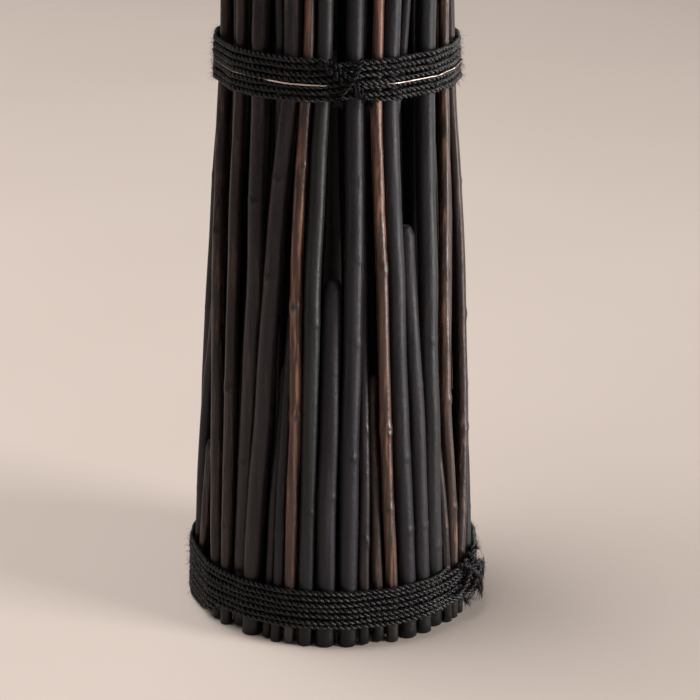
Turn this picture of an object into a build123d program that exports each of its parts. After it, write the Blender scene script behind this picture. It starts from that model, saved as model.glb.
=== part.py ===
"""Free-standing garden torch: a flared bundle of willow rods bound with twisted cord round a steel post,
with a lift-out fuel canister, wick and snuffer seated in its head.

Millimetres, +Z up, origin on the floor at the middle of the base. The front of the torch faces -Y, and a
rod's angle is 0 at the front and grows towards +X.
"""

from build123d import *
import math
import os
import random

import numpy as np

# ---------------------------------------------------------------- driving dimensions
OUTLINE = [  # (height, radius) of the surface that the outermost rods touch
    (0, 98), (60, 96.5), (140, 92.5), (215, 89), (285, 85), (345, 80), (382, 77.5), (440, 76.5),
    (560, 71), (680, 66.5), (770, 65), (860, 67), (960, 73), (1060, 82), (1130, 88), (1230, 95),
]
ROD_LENGTH = 1195          # a full rod, from the floor to its tip
ROD_TIP_SPREAD = 14        # tips end this much higher or lower
ROD_SLIMMING = 0.18        # share of its diameter that a full rod loses from butt to tip
ROD_GAP = 1.1              # least space between two rods
LEAST_RUN = 12             # a rod's two ends are at least this far from the nearest station
HOLD = 4                   # a short rod that ends less than this below a cord still holds the cord off
WAIST_HEIGHT = 382         # the middle of the waist binding
NECK_HEIGHT = 770          # the narrowest place, where the rods stand evenly spaced
STATIONS = [0, 22, 46, 72, 100, 125, 150, 175, 200, 225, 250, 275, 300, 320, 340, 365, 382, 400, 440, 490,
            570, 660, 757, 782, 870, 970, 1050, 1122, 1147, 1230]
TABLE_HEIGHTS = [0, 100, 200, 300, 400]   # heights of the angles and insets in the rod tables

CORD = 4.0                 # diameter of the black binding cord
CORD_PITCH = 4.1           # from one turn of cord to the next
CORD_CLEARANCE = 0.6       # between the cord and the rods that it binds
BINDINGS = {               # name: (height of the lowest turn's centre, turns)
    "base_rope": (15.6, 7),
    "waist_rope": (371.2, 7),
    "neck_rope": (758.0, 7),
    "head_rope": (1123.0, 7),
}
BASE_PART_TURNS = [(-48, 60), (-53, 66), (-62, 84)]   # angles between which each lower turn is left out
KNOTS = {                  # name: (binding, angle, width, height)
    "base_knot": ("base_rope", 68, 20, 24),
    "waist_knot": ("waist_rope", 6, 16, 24),
    "neck_knot": ("neck_rope", -38, 16, 24),
    "head_knot": ("head_rope", 24, 16, 24),
}
KNOT_LUMP = 4.2            # radius of the lump where a knot's cords cross
KNOT_CLEARANCE = 0.3       # between a knot and the cord under it
WIRE = 1.3                 # diameter of the copper tie wire in the waist binding
WIRE_TURN = 1              # it lies above this turn of cord, counted from 0 at the bottom
WIRE_CLEARANCE = 0.25

DISC_THICKNESS = 12
BASE_DISC_THICKNESS = 18
DISC_CLEARANCE = 1.0
BALLAST_THICKNESS = 16
BALLAST_MARGIN = 5         # the ballast plate is this much smaller than the base disc, all round
POST_RADIUS = 12.5
POST_WALL = 2.0
FLANGE_RADIUS = 38
FLANGE_THICKNESS = 5
SCREW_CIRCLE = 27          # radius of the circle of flange screws
SCREW_SHANK = 2.4
SCREW_HEAD = 4.4
SCREW_HEAD_HEIGHT = 2.6
SCREW_TIP = 6              # the flange screws end this high, inside the base disc
FLANGE_FLOOR = BASE_DISC_THICKNESS + BALLAST_THICKNESS
FLANGE_COLLAR = 20         # height of the flange's socket for the post
COLLAR_RADIUS = 21         # the rings on the post that carry the spacer discs
COLLAR_HEIGHT = 9
GRUB_SCREW = 2.0           # radius of the hole for a collar's grub screw
RUNNING = 0.2              # radial clearance of parts that slide or turn in one another

CUP_FLOOR = 1078           # underside of the burner cup
CUP_INNER = 51.5
CUP_WALL = 1.5
CUP_DEPTH = 70
CUP_RIM_DROP = 9           # the rim's outer edge lies this much lower than its inner edge
SOCKET_LENGTH = 34
CUP_SCREW = 2.5            # radius of the thumb screw that grips the post
CUP_SCREW_SHANK = 12
CUP_SCREW_HEAD = 6.5
CUP_SCREW_HEIGHT = CUP_FLOOR - SOCKET_LENGTH / 2
CANISTER_RADIUS = 50
CANISTER_BODY = 66
CANISTER_WALL = 1.5
SHOULDER_HEIGHT = 16
NECK_RADIUS = 21
NECK_LENGTH = 18
GASKET_THICKNESS = 1.5
CAP_WALL = 1.6
CAP_SKIRT = 14
CAP_GROOVES = 36
TUBE_RADIUS = 6.2
TUBE_WALL = 1.3
TUBE_FLANGE = 2.8          # how far the flange stands out from the tube
TUBE_ABOVE = 24            # wick tube above the burner cap
TUBE_BELOW = 16
WICK_ABOVE = 9             # wick above its tube
WICK_LENGTH = 118
BELL_WALL = 1.2
BELL_SPACE = 4.3           # between the wick tube and the inside of the snuffer
BELL_HEIGHT = 44
BELL_CLEARANCE = 0.3       # between the bell's rim and the cap
KNOB_RADIUS = 8

CANISTER_FLOOR = CUP_FLOOR + CUP_WALL + 0.5
NECK_TOP = CANISTER_FLOOR + CANISTER_BODY + SHOULDER_HEIGHT + NECK_LENGTH
CAP_UNDER = NECK_TOP + GASKET_THICKNESS + 0.1
CAP_TOP = CAP_UNDER + CAP_WALL
WICK_TOP = CAP_TOP + TUBE_ABOVE + WICK_ABOVE

# ---------------------------------------------------------------- the rods that show from the front
# name: (butt diameter, angles at the table heights, insets at the table heights). An inset is how far the
# rod lies inside the outline, 0 when it is outermost.
OUTER = (0, 0, 0, 0, 0)
FRONT_RODS = [
    (9.0, (-57, -62, -65, -73, -82), OUTER),
    (8.0, (-66, -67, -66, -63, -64), (14, 13, 11, 8, 4)),
    (8.0, (-50.5, -51, -52.5, -54, -56), OUTER),
    (12.2, (-44.5, -42.5, -39, -40, -42), (4, 3, 1, 0, 0)),
    (12.8, (-37.5, -37, -32, -28.5, -23), OUTER),
    (7.0, (-29, -30, -31, -31, -29), (14, 14, 14, 13, 4)),
    (7.8, (-18, -18, -17.7, -17.3, -12.5), OUTER),
    (10.4, (-11.4, -11.4, -10.2, -9.4, -5.5), OUTER),
    (12.2, (6.2, 7, 9.2, 9.2, 9.6), OUTER),
    (6.6, (13, 13, 14.7, 15, 15.8), (1, 2, 10, 13, 12)),
    (7.6, (25.5, 23.8, 21.7, 20.9, 20), OUTER),
    (12.2, (34.5, 32, 30, 29.5, 29.3), OUTER),
    (7.2, (27, 27, 27, 29, 36.5), (15, 15, 15, 14, 2)),
    (13.4, (49.5, 48.3, 48.2, 49, 53), OUTER),
    (7.2, (60.5, 57.5, 56, 63.5, 69), OUTER),
    (6.8, (66, 67, 69, 71, 77), (13, 12, 7, 3, 8)),
    (7.6, (64, 74, 85, 84, 85), OUTER),
]
# Short rods fill the flare below the waist: (butt diameter, top height, angles, insets).
FRONT_SHORT_RODS = [
    (8.2, 262, (-90, -84, -74, -72, -72), (0, 0, 1, 4, 4)),
    (7.0, 121, (-79.5, -73, -71, -71, -71), (1, 2, 6, 8, 8)),
    (5.8, 190, (-28.5, -25.5, -24.5, -24, -24), (2, 3, 13, 16, 16)),
    (7.2, 262, (-24, -22.4, -20.5, -18.6, -18), (0, 1, 5, 13, 14)),
    (13.2, 252, (-3.2, -3, -0.4, -1, -1), (0, 0, 1, 8, 8)),
    (7.6, 185, (20, 18.2, 17.8, 17.5, 17), (3, 4, 14, 16, 16)),
    (11.4, 284, (43.2, 42, 37.8, 34.5, 34.5), (0, 0, 1, 5, 6)),
    (6.2, 176, (54.6, 53.4, 53, 53, 53), (1, 2, 12, 15, 15)),
    (7.4, 134, (78, 84, 90, 90, 90), (0, 1, 3, 3, 3)),
]
BACK_RODS = 14
BACK_SHORT_RODS = 7
BACK_FROM, BACK_TO = 98, 262       # angles of the first and last back rod
INNER_RODS = 23            # a second layer, close behind the first, that ends below the burner cup
INNER_INSET = 17
INNER_TOP = 1030

# How the rods find their places: the share of each error that one step takes away.
SETTLE_STEPS = 900
FREE_STEPS = 200           # the last steps only push the rods apart
DRAW = 0.06                # towards the wanted place
STRAIGHTEN = 0.18          # towards the line between the stations above and below
PUSH = 0.45                # apart, where two rods are too close
BEYOND_TOP = 60            # a rod keeps its place in the bundle this far above its own top

STANDING = (Align.CENTER, Align.CENTER, Align.MIN)

random.seed(11)


# ---------------------------------------------------------------- where every rod runs
def outline_radius(z):
    return float(np.interp(z, *zip(*OUTLINE)))


def back_rods():
    """Full rods round the back, evenly spaced with a little sway, and short ones in the gaps between them."""
    step = (BACK_TO - BACK_FROM) / (BACK_RODS - 1)
    full = []
    for i in range(BACK_RODS):
        middle = BACK_FROM + i * step
        sway = [random.uniform(-2.4, 2.4) for _ in TABLE_HEIGHTS]
        angles = tuple(middle + s for s in sway)
        inset = random.choice([0, 0, 0, 4])
        full.append((random.uniform(9.4, 13), angles, (inset * 0.3, inset, inset, inset, inset * 0.5)))
    short = []
    for i in range(BACK_SHORT_RODS):
        middle = BACK_FROM + (2 * i + 0.5) * step
        lean = random.uniform(-2, 2)
        angles = tuple(middle + lean * z / 200 for z in TABLE_HEIGHTS)
        short.append((random.uniform(6.5, 9.5), random.uniform(140, 270), angles, (0, 1, 4, 7, 7)))
    return full, short


def inner_rods():
    """A rough second layer all the way round, as (butt diameter, top, angles, insets)."""
    rods = []
    for i in range(INNER_RODS):
        middle = (i + 0.5) * 360 / INNER_RODS + random.uniform(-2, 2)
        angles = tuple(middle + random.uniform(-2, 2) for _ in TABLE_HEIGHTS)
        insets = tuple(INNER_INSET + random.uniform(-1, 2) for _ in TABLE_HEIGHTS)
        rods.append((random.uniform(10, 12), INNER_TOP - random.uniform(0, 30), angles, insets))
    return rods


def rod_list():
    """Every rod as (name, butt diameter, foot, top, angles, insets), the full rods first, in ring order."""
    back, back_short = back_rods()
    full = sorted(FRONT_RODS, key=lambda rod: rod[1][-1]) + back
    rods = []
    for i, (diameter, angles, insets) in enumerate(full):
        top = ROD_LENGTH + random.uniform(-ROD_TIP_SPREAD, ROD_TIP_SPREAD)
        rods.append((f"rod_{i + 1:02d}", diameter, foot_height(i), top, angles, insets))
    for i, (diameter, top, angles, insets) in enumerate(FRONT_SHORT_RODS + back_short):
        rods.append((f"short_{i + 1:02d}", diameter, foot_height(i + 1), top, angles, insets))
    for i, (diameter, top, angles, insets) in enumerate(inner_rods()):
        rods.append((f"inner_{i + 1:02d}", diameter, foot_height(i), top, angles, insets))
    return rods


def foot_height(i):
    """Two rods in three are cut flush with the floor, and the rest stand just off it."""
    return 0.0 if i % 3 else random.uniform(0.8, 2.2)


def targets(rods):
    """Each rod's wanted place and radius at every station, as arrays."""
    full = sum(rod[0].startswith("rod") for rod in rods)
    place = np.zeros((len(rods), len(STATIONS), 2))
    radius = np.zeros((len(rods), len(STATIONS)))
    for i, (name, diameter, _, _, angles, insets) in enumerate(rods):
        neck_angle, neck_inset = angles[-1], insets[-1]
        if name.startswith("rod"):
            neck_angle += wrapped(rods[0][4][-1] + i * 360 / full - angles[-1])
            neck_inset = 0
        for k, z in enumerate(STATIONS):
            angle = np.interp(z, TABLE_HEIGHTS + [NECK_HEIGHT], [*angles, neck_angle])
            inset = np.interp(z, TABLE_HEIGHTS + [NECK_HEIGHT], [*insets, neck_inset])
            radius[i, k] = rod_radius(diameter, z)
            reach = outline_radius(z) - inset - radius[i, k]
            place[i, k] = on_ring(reach, angle)
    return place, radius


def wrapped(angle):
    return (angle + 180) % 360 - 180


def rod_radius(diameter, z):
    return diameter / 2 * (1 - ROD_SLIMMING * z / ROD_LENGTH)


def on_ring(reach, angle):
    return np.array([reach * math.sin(math.radians(angle)), -reach * math.cos(math.radians(angle))])


def settle(rods):
    """Lets the rods push each other apart at every station until none overlap, while each is drawn to its
    wanted place and stays as straight as its neighbours allow."""
    wanted, radius = targets(rods)
    place = wanted.copy()
    z = np.array(STATIONS, float)
    share = (z[1:-1] - z[:-2]) / (z[2:] - z[:-2])
    present = np.array([[top > s - BEYOND_TOP for s in STATIONS] for _, _, _, top, _, _ in rods])
    reach = radius[:, None, :] + radius[None, :, :] + ROD_GAP
    meet = present[:, None, :] & present[None, :, :]
    for i in range(len(rods)):
        meet[i, i] = False
    for step in range(SETTLE_STEPS):
        if step < SETTLE_STEPS - FREE_STEPS:
            place += DRAW * (wanted - place)
            straight = place[:, :-2] * (1 - share)[None, :, None] + place[:, 2:] * share[None, :, None]
            place[:, 1:-1] += STRAIGHTEN * (straight - place[:, 1:-1])
        apart = place[:, None] - place[None, :]
        distance = np.linalg.norm(apart, axis=3) + 1e-9
        bite = np.where(meet, np.maximum(0, reach - distance), 0)
        place += PUSH * (apart / distance[..., None] * bite[..., None]).sum(1)
        out = np.linalg.norm(place, axis=2)
        limit = np.array([outline_radius(s) for s in STATIONS])[None, :] - radius
        place *= np.minimum(1, limit / out)[..., None]
    return place, radius


def settled_rods():
    """Every rod as its name, foot, top and x, y and radius at each station."""
    rods = rod_list()
    place, radius = settle(rods)
    return [{"name": name, "foot": foot, "top": top, "x": place[i, :, 0], "y": place[i, :, 1], "r": radius[i]}
            for i, (name, _, foot, top, _, _) in enumerate(rods)]


def section(rod, z):
    """Centre and radius of a rod at height z."""
    return tuple(float(np.interp(z, STATIONS, rod[key])) for key in "xyr")


def standing_at(rods, z):
    """Sections of the rods that reach height z."""
    return [section(rod, z) for rod in rods if rod["top"] > z - HOLD]


def rod_solid(rod):
    """A rod lofted through level circles, so that its two ends are cut level. It runs straight between
    stations, so the space between two rods is the same in the solids as at the stations."""
    heights = [rod["foot"]]
    heights += [z for z in STATIONS if rod["foot"] + LEAST_RUN < z < rod["top"] - LEAST_RUN]
    heights.append(rod["top"])
    sections = [(z, section(rod, z)) for z in heights]
    return loft([(Plane(origin=(x, y, z)) * Circle(r)).face() for z, (x, y, r) in sections], ruled=True)


# ---------------------------------------------------------------- cord wound round the rods
def cross(o, a, b):
    return (a[0] - o[0]) * (b[1] - o[1]) - (a[1] - o[1]) * (b[0] - o[0])


def touched_circles(circles):
    """The circles that a tight loop touches, in order, counter-clockwise: those on their convex hull."""
    points = []
    for i, (x, y, r) in enumerate(circles):
        for a in range(0, 360, 2):
            points.append((x + r * math.cos(math.radians(a)), y + r * math.sin(math.radians(a)), i))
    points.sort()

    def half(side):
        chain = []
        for p in side:
            while len(chain) > 1 and cross(chain[-2], chain[-1], p) <= 0:
                chain.pop()
            chain.append(p)
        return chain[:-1]

    order = []
    for _, _, i in half(points) + half(points[::-1]):
        if not order or order[-1] != i:
            order.append(i)
    if order[0] == order[-1]:
        order.pop()
    return [circles[i] for i in order]


def tangent_angle(a, b):
    """Direction from each centre to its end of the outer tangent from circle a to circle b."""
    along = math.atan2(b[1] - a[1], b[0] - a[0])
    distance = math.hypot(b[0] - a[0], b[1] - a[1])
    return along - math.pi / 2 + math.asin((a[2] - b[2]) / distance)


def on_circle(circle, angle, z):
    x, y, r = circle
    return (x + r * math.cos(angle), y + r * math.sin(angle), z)


def loop_edges(circles, z, offset):
    """Edges of the closed line that runs this far outside the rods at height z, an arc round each rod that
    it touches and a straight run to the next."""
    ring = touched_circles([(x, y, r + offset) for x, y, r in circles])
    leave = [tangent_angle(c, ring[(i + 1) % len(ring)]) for i, c in enumerate(ring)]
    edges = []
    for i, circle in enumerate(ring):
        turn = (leave[i] - leave[i - 1]) % (2 * math.pi)
        start, middle, end = (on_circle(circle, leave[i - 1] + turn * t, z) for t in (0, 0.5, 1))
        edges.append(ThreePointArc(start, middle, end).edge())
        edges.append(Line(end, on_circle(ring[(i + 1) % len(ring)], leave[i], z)).edge())
    return edges


def cord_along(edges, cord_radius):
    """Cord swept along edges. It starts on a straight run, so that a closed turn's two ends meet flush."""
    edges = edges[1:] + edges[:1]
    profile = Plane(origin=edges[0] @ 0, z_dir=edges[0] % 0) * Circle(cord_radius)
    return sweep(profile, path=Wire(edges))


def edge_angle(edge):
    middle = edge @ 0.5
    return math.degrees(math.atan2(middle.X, -middle.Y))


def binding(rods, name):
    """The turns of one binding, each a closed ring. The base binding has part turns below, round the back."""
    lowest, turns = BINDINGS[name]
    offset = CORD_CLEARANCE + CORD / 2
    solids = []
    for i in range(turns):
        z = lowest + i * CORD_PITCH
        solids.append(cord_along(loop_edges(standing_at(rods, z), z, offset), CORD / 2))
    if name == "base_rope":
        for i, (left, right) in enumerate(BASE_PART_TURNS):
            z = lowest - (i + 1) * CORD_PITCH
            edges = loop_edges(standing_at(rods, z), z, offset)
            solids.append(part_turn(edges, left, right))
    return solids


def part_turn(edges, left, right):
    """A turn that leaves out the front, from angle left to angle right."""
    front = [left < edge_angle(e) < right for e in edges]
    first = next(i for i in range(len(edges)) if front[i - 1] and not front[i])
    kept = [edges[(first + i) % len(edges)] for i in range(front.count(False))]
    profile = Plane(origin=kept[0] @ 0, z_dir=kept[0] % 0) * Circle(CORD / 2)
    return sweep(profile, path=Wire(kept))


def wire_turn(rods):
    """The tie wire, in the outer groove between two turns of the waist binding."""
    z = BINDINGS["waist_rope"][0] + (WIRE_TURN + 0.5) * CORD_PITCH
    reach = (CORD + WIRE) / 2 + WIRE_CLEARANCE
    groove = math.sqrt(reach ** 2 - (CORD_PITCH / 2) ** 2)
    offset = CORD_CLEARANCE + CORD / 2 + groove
    return cord_along(loop_edges(standing_at(rods, z), z, offset), WIRE / 2)


def knot(rods, name):
    """Two crossing cords and the lump where they are tied, laid on the outside of a binding."""
    rope, angle, width, height = KNOTS[name]
    lowest, turns = BINDINGS[rope]
    z = lowest + (turns - 1) * CORD_PITCH / 2
    outward = Vector(math.sin(math.radians(angle)), -math.cos(math.radians(angle)), 0)
    touching = [c for i in range(turns) for c in standing_at(rods, lowest + i * CORD_PITCH)]
    furthest = max(outward.dot(Vector(x, y)) + r for x, y, r in touching)
    reach = furthest + CORD_CLEARANCE + CORD + KNOT_CLEARANCE
    x, y, _ = max(touching, key=lambda c: outward.dot(Vector(c[0], c[1])) + c[2])
    along = Vector(-outward.Y, outward.X, 0)
    seat = Plane(origin=outward * reach + along * along.dot(Vector(x, y)) + Vector(0, 0, z), z_dir=outward,
                 x_dir=along)
    lift = CORD / 2
    arms = []
    for side in (-1, 1):
        start = Vector(-width / 2, -side * height / 2, lift)
        end = Vector(width / 2, side * height / 2, lift)
        bar = Cylinder(CORD / 2, (end - start).length, align=STANDING)
        bar = Plane(origin=start, z_dir=end - start) * bar
        arms += [bar, Pos(*start) * Sphere(CORD / 2), Pos(*end) * Sphere(CORD / 2)]
    outer_half = Box(3 * KNOT_LUMP, 3 * KNOT_LUMP, 3 * KNOT_LUMP, align=STANDING)
    solid = Pos(0, 0, lift) * Sphere(KNOT_LUMP) & outer_half
    for arm in arms:
        solid = solid + arm
    return seat * solid


# ---------------------------------------------------------------- core, base and spacers
def turned(*corners):
    """Solid of revolution about Z from (radius, height) corners."""
    return revolve(Plane.XZ * make_face(Polyline(*corners, close=True)), Axis.Z)


def tube(outer, inner, bottom, top):
    return turned((inner, bottom), (outer, bottom), (outer, top), (inner, top))


def upright(radius, bottom, top):
    return Pos(0, 0, bottom) * Cylinder(radius, top - bottom, align=STANDING)


def round_edges(shape, radius, height):
    """A turned shape's edges at this radius and height."""
    return [e for e in shape.edges().filter_by(GeomType.CIRCLE)
            if abs(e.radius - radius) < 0.01 and abs(e.center().Z - height) < 0.01]


def screw_places():
    return PolarLocations(SCREW_CIRCLE, 4, start_angle=45)


def screw_holes():
    """Clearance holes for the flange screws, through the ballast plate and the flange."""
    return [place * upright(SCREW_SHANK + 0.3, BASE_DISC_THICKNESS - 1, FLANGE_FLOOR + 2 * FLANGE_THICKNESS)
            for place in screw_places()]


def clear_radius(rods, bottom, top):
    """Radius of the space inside the rods between two heights, less the spacers' clearance."""
    heights = np.linspace(bottom, top, 5)
    return min(math.hypot(x, y) - r for z in heights for x, y, r in standing_at(rods, z)) - DISC_CLEARANCE


def base_disc(rods):
    disc = upright(clear_radius(rods, 0, BASE_DISC_THICKNESS), 0, BASE_DISC_THICKNESS)
    disc = chamfer(disc.edges(), 0.8)
    pilots = [place * upright(SCREW_SHANK + 0.1, SCREW_TIP - 0.5, BASE_DISC_THICKNESS + 1)
              for place in screw_places()]
    return disc - pilots


def ballast_plate(rods):
    radius = clear_radius(rods, BASE_DISC_THICKNESS, FLANGE_FLOOR) - BALLAST_MARGIN
    plate = upright(radius, BASE_DISC_THICKNESS, FLANGE_FLOOR)
    plate = chamfer(plate.edges(), 1.2)
    return plate - screw_holes()


def post_flange():
    socket = POST_RADIUS + 0.1
    top = FLANGE_FLOOR + FLANGE_THICKNESS
    flange = turned((socket, FLANGE_FLOOR), (FLANGE_RADIUS, FLANGE_FLOOR), (FLANGE_RADIUS, top),
                    (socket + 5, top), (socket + 3, top + FLANGE_COLLAR), (socket, top + FLANGE_COLLAR))
    return flange - screw_holes()


def flange_screw():
    """Pan head screw with a cross recess, standing on the flange."""
    seat = FLANGE_FLOOR + FLANGE_THICKNESS
    shank = upright(SCREW_SHANK, SCREW_TIP, seat)
    top = seat + SCREW_HEAD_HEIGHT
    head = upright(SCREW_HEAD, seat, top)
    head = fillet(head.faces().sort_by(Axis.Z)[-1].edges(), SCREW_HEAD_HEIGHT / 2 - 0.1)
    recess = Pos(0, 0, top) * (Box(4.2, 1.0, 2.4) + Box(1.0, 4.2, 2.4))
    return shank + head - recess


def core_post():
    return tube(POST_RADIUS, POST_RADIUS - POST_WALL, FLANGE_FLOOR, CUP_FLOOR - 0.5)


def spacer_disc(rods, middle):
    bottom, top = middle - DISC_THICKNESS / 2, middle + DISC_THICKNESS / 2
    disc = upright(clear_radius(rods, bottom, top), bottom, top)
    return chamfer(disc.edges(), 0.8) - upright(POST_RADIUS + 0.4, bottom - 1, top + 1)


def post_collar(middle):
    """Steel ring that grips the post under a spacer disc, with its grub screw's hole."""
    top = middle - DISC_THICKNESS / 2
    ring = tube(COLLAR_RADIUS, POST_RADIUS + 0.1, top - COLLAR_HEIGHT, top)
    hole = Cylinder(GRUB_SCREW, COLLAR_RADIUS - POST_RADIUS + 2)
    hole = Pos(0, -COLLAR_RADIUS, top - COLLAR_HEIGHT / 2) * Rot(90, 0, 0) * hole
    return ring - hole


# ---------------------------------------------------------------- burner
def burner_cup(rods):
    """Spun steel cup with a drooping rim that reaches the rods, and a socket under it for the post."""
    outer = CUP_INNER + CUP_WALL
    top = CUP_FLOOR + CUP_DEPTH
    rim = clear_radius(rods, top - CUP_RIM_DROP - CUP_WALL, top) - 1
    socket = POST_RADIUS + RUNNING
    cup = turned(
        (0, CUP_FLOOR), (socket, CUP_FLOOR), (socket, CUP_FLOOR - SOCKET_LENGTH),
        (socket + CUP_WALL * 2, CUP_FLOOR - SOCKET_LENGTH), (socket + CUP_WALL * 2, CUP_FLOOR),
        (outer, CUP_FLOOR), (outer, top - 2 * CUP_WALL), (rim, top - CUP_RIM_DROP - CUP_WALL),
        (rim, top - CUP_RIM_DROP), (CUP_INNER, top), (CUP_INNER, CUP_FLOOR + CUP_WALL),
        (0, CUP_FLOOR + CUP_WALL))
    cup = fillet(round_edges(cup, outer, CUP_FLOOR), 4)
    cup = fillet(round_edges(cup, CUP_INNER, CUP_FLOOR + CUP_WALL), 2.5)
    hole = Cylinder(CUP_SCREW + 0.3, 2 * socket, align=STANDING)
    hole = Pos(0, 0, CUP_SCREW_HEIGHT) * Rot(90, 0, 0) * hole
    return cup - hole


def cup_screw():
    """Thumb screw through the socket, its tip against the post."""
    start = POST_RADIUS + 0.1
    shank = upright(CUP_SCREW, 0, CUP_SCREW_SHANK)
    head = upright(CUP_SCREW_HEAD, CUP_SCREW_SHANK, CUP_SCREW_SHANK + 5)
    flutes = [place * Cylinder(1.1, 4 * CUP_SCREW_SHANK)
              for place in PolarLocations(CUP_SCREW_HEAD + 0.6, 12)]
    head = fillet(head.edges(), 0.6) - flutes
    return Pos(0, -start, CUP_SCREW_HEIGHT) * Rot(90, 0, 0) * (shank + head)


def canister_shape(inset, floor, top):
    """Solid canister outline, drawn in by inset, with a rounded shoulder up to its neck."""
    body, neck = CANISTER_RADIUS - inset, NECK_RADIUS - inset
    shoulder = CANISTER_FLOOR + CANISTER_BODY
    neck_base = shoulder + SHOULDER_HEIGHT
    dome_end = (neck + 4, neck_base - inset)
    wall = Polyline((0, floor), (body, floor), (body, shoulder))
    dome = ThreePointArc((body, shoulder), (body - 5.5, shoulder + 9 - inset / 2), dome_end)
    mouth = Polyline(dome_end, (neck, neck_base - inset), (neck, top), (0, top), (0, floor))
    outline = [edge for line in (wall, dome, mouth) for edge in line.edges()]
    return revolve(Plane.XZ * make_face(Wire(outline)), Axis.Z)


def fuel_canister():
    outer = canister_shape(0, CANISTER_FLOOR, NECK_TOP)
    outer = fillet(outer.edges().group_by(Axis.Z)[0], 4)
    inner = canister_shape(CANISTER_WALL, CANISTER_FLOOR + CANISTER_WALL, NECK_TOP + 5)
    inner = fillet(inner.edges().group_by(Axis.Z)[0], 2.5)
    return outer - inner


def cap_gasket():
    return tube(NECK_RADIUS, NECK_RADIUS - 4, NECK_TOP, NECK_TOP + GASKET_THICKNESS)


def burner_cap():
    """Screw cap: a skirt round the canister's neck with knurled grip, and a hole for the wick tube."""
    inner = NECK_RADIUS + RUNNING + 0.1
    outer = inner + CAP_WALL
    under, top = CAP_UNDER, CAP_UNDER + CAP_WALL
    hole = TUBE_RADIUS + 0.1
    cap = turned((hole, under), (inner, under), (inner, top - CAP_SKIRT), (outer, top - CAP_SKIRT),
                 (outer, top), (hole, top))
    cap = fillet(round_edges(cap, outer, top), 1.0)
    grooves = [place * upright(0.6, 0, top - 3) for place in PolarLocations(outer + 0.2, CAP_GROOVES)]
    return cap - grooves


def wick_tube():
    """Brass tube with a flange that seats it on the cap."""
    top = CAP_TOP + TUBE_ABOVE
    bottom = CAP_TOP - TUBE_BELOW
    bore = TUBE_RADIUS - TUBE_WALL
    flange = TUBE_RADIUS + TUBE_FLANGE
    return turned((bore, bottom), (TUBE_RADIUS, bottom), (TUBE_RADIUS, CAP_TOP), (flange, CAP_TOP),
                  (flange, CAP_TOP + 1.2), (TUBE_RADIUS, CAP_TOP + 2), (TUBE_RADIUS, top - 0.8),
                  (bore + 0.5, top), (bore, top))


def wick():
    bottom = WICK_TOP - WICK_LENGTH
    return fillet(upright(TUBE_RADIUS - TUBE_WALL - RUNNING, bottom, WICK_TOP).edges(), 0.8)


def snuffer_bell():
    """Cone that stands over the wick tube on the cap, open below."""
    rim = CAP_TOP + BELL_CLEARANCE
    top = rim + BELL_HEIGHT
    inner = TUBE_RADIUS + BELL_SPACE
    return turned((inner + 1, rim), (inner + 3, rim), (inner + 3, rim + 1.5), (inner + BELL_WALL, rim + 4),
                  (inner + BELL_WALL - 0.6, top - 5), (inner - 3, top), (0, top), (0, top - BELL_WALL),
                  (inner - 3.5, top - BELL_WALL), (inner - 0.6, top - 5.6), (inner, rim + 4))


def snuffer_knob():
    """Turned wooden ball on a short flared stem, on top of the bell."""
    base = CAP_TOP + BELL_CLEARANCE + BELL_HEIGHT + 0.05
    stem = turned((0, base), (5, base), (3.4, base + 2.5), (3.4, base + 6), (0, base + 6))
    return stem + Pos(0, 0, base + 2.5 + KNOB_RADIUS) * Sphere(KNOB_RADIUS)


# ---------------------------------------------------------------- the whole torch
def write(name, *shapes):
    solids = [solid for shape in shapes for solid in shape.solids()]
    export_step(Compound(children=solids), f"parts/{name}.step")


def main():
    os.makedirs("parts", exist_ok=True)
    rods = settled_rods()
    for rod in rods:
        if rod["name"].startswith("rod"):
            write(rod["name"], rod_solid(rod))
    for layer in ("short", "inner"):
        write(f"{layer}_rods", *[rod_solid(rod) for rod in rods if rod["name"].startswith(layer)])

    for name in BINDINGS:
        write(name, *binding(rods, name))
    for name in KNOTS:
        write(name, knot(rods, name))
    write("waist_wire", wire_turn(rods))

    write("base_disc", base_disc(rods))
    write("ballast_plate", ballast_plate(rods))
    write("post_flange", post_flange())
    write("flange_screws", *[place * flange_screw() for place in screw_places()])
    write("core_post", core_post())
    write("waist_disc", spacer_disc(rods, WAIST_HEIGHT))
    write("neck_disc", spacer_disc(rods, NECK_HEIGHT))
    write("post_collars", *[post_collar(height) for height in (WAIST_HEIGHT, NECK_HEIGHT)])

    write("burner_cup", burner_cup(rods))
    write("cup_screw", cup_screw())
    write("fuel_canister", fuel_canister())
    write("cap_gasket", cap_gasket())
    write("burner_cap", burner_cap())
    write("wick_tube", wick_tube())
    write("wick", wick())
    write("snuffer_bell", snuffer_bell())
    write("snuffer_knob", snuffer_knob())


main()
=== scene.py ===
"""Looks of the free-standing willow torch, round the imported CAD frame: barked rods, twisted cord bindings with
frayed knots, a tie wire, and a brass and steel burner. Metres, +Z up, front at -Y. Angles are in degrees round
the torch, 0 at the front and growing towards +X, unless a comment says otherwise.
"""

import math

import bpy
import numpy as np
from mathutils import Euler, Matrix, Vector


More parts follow.
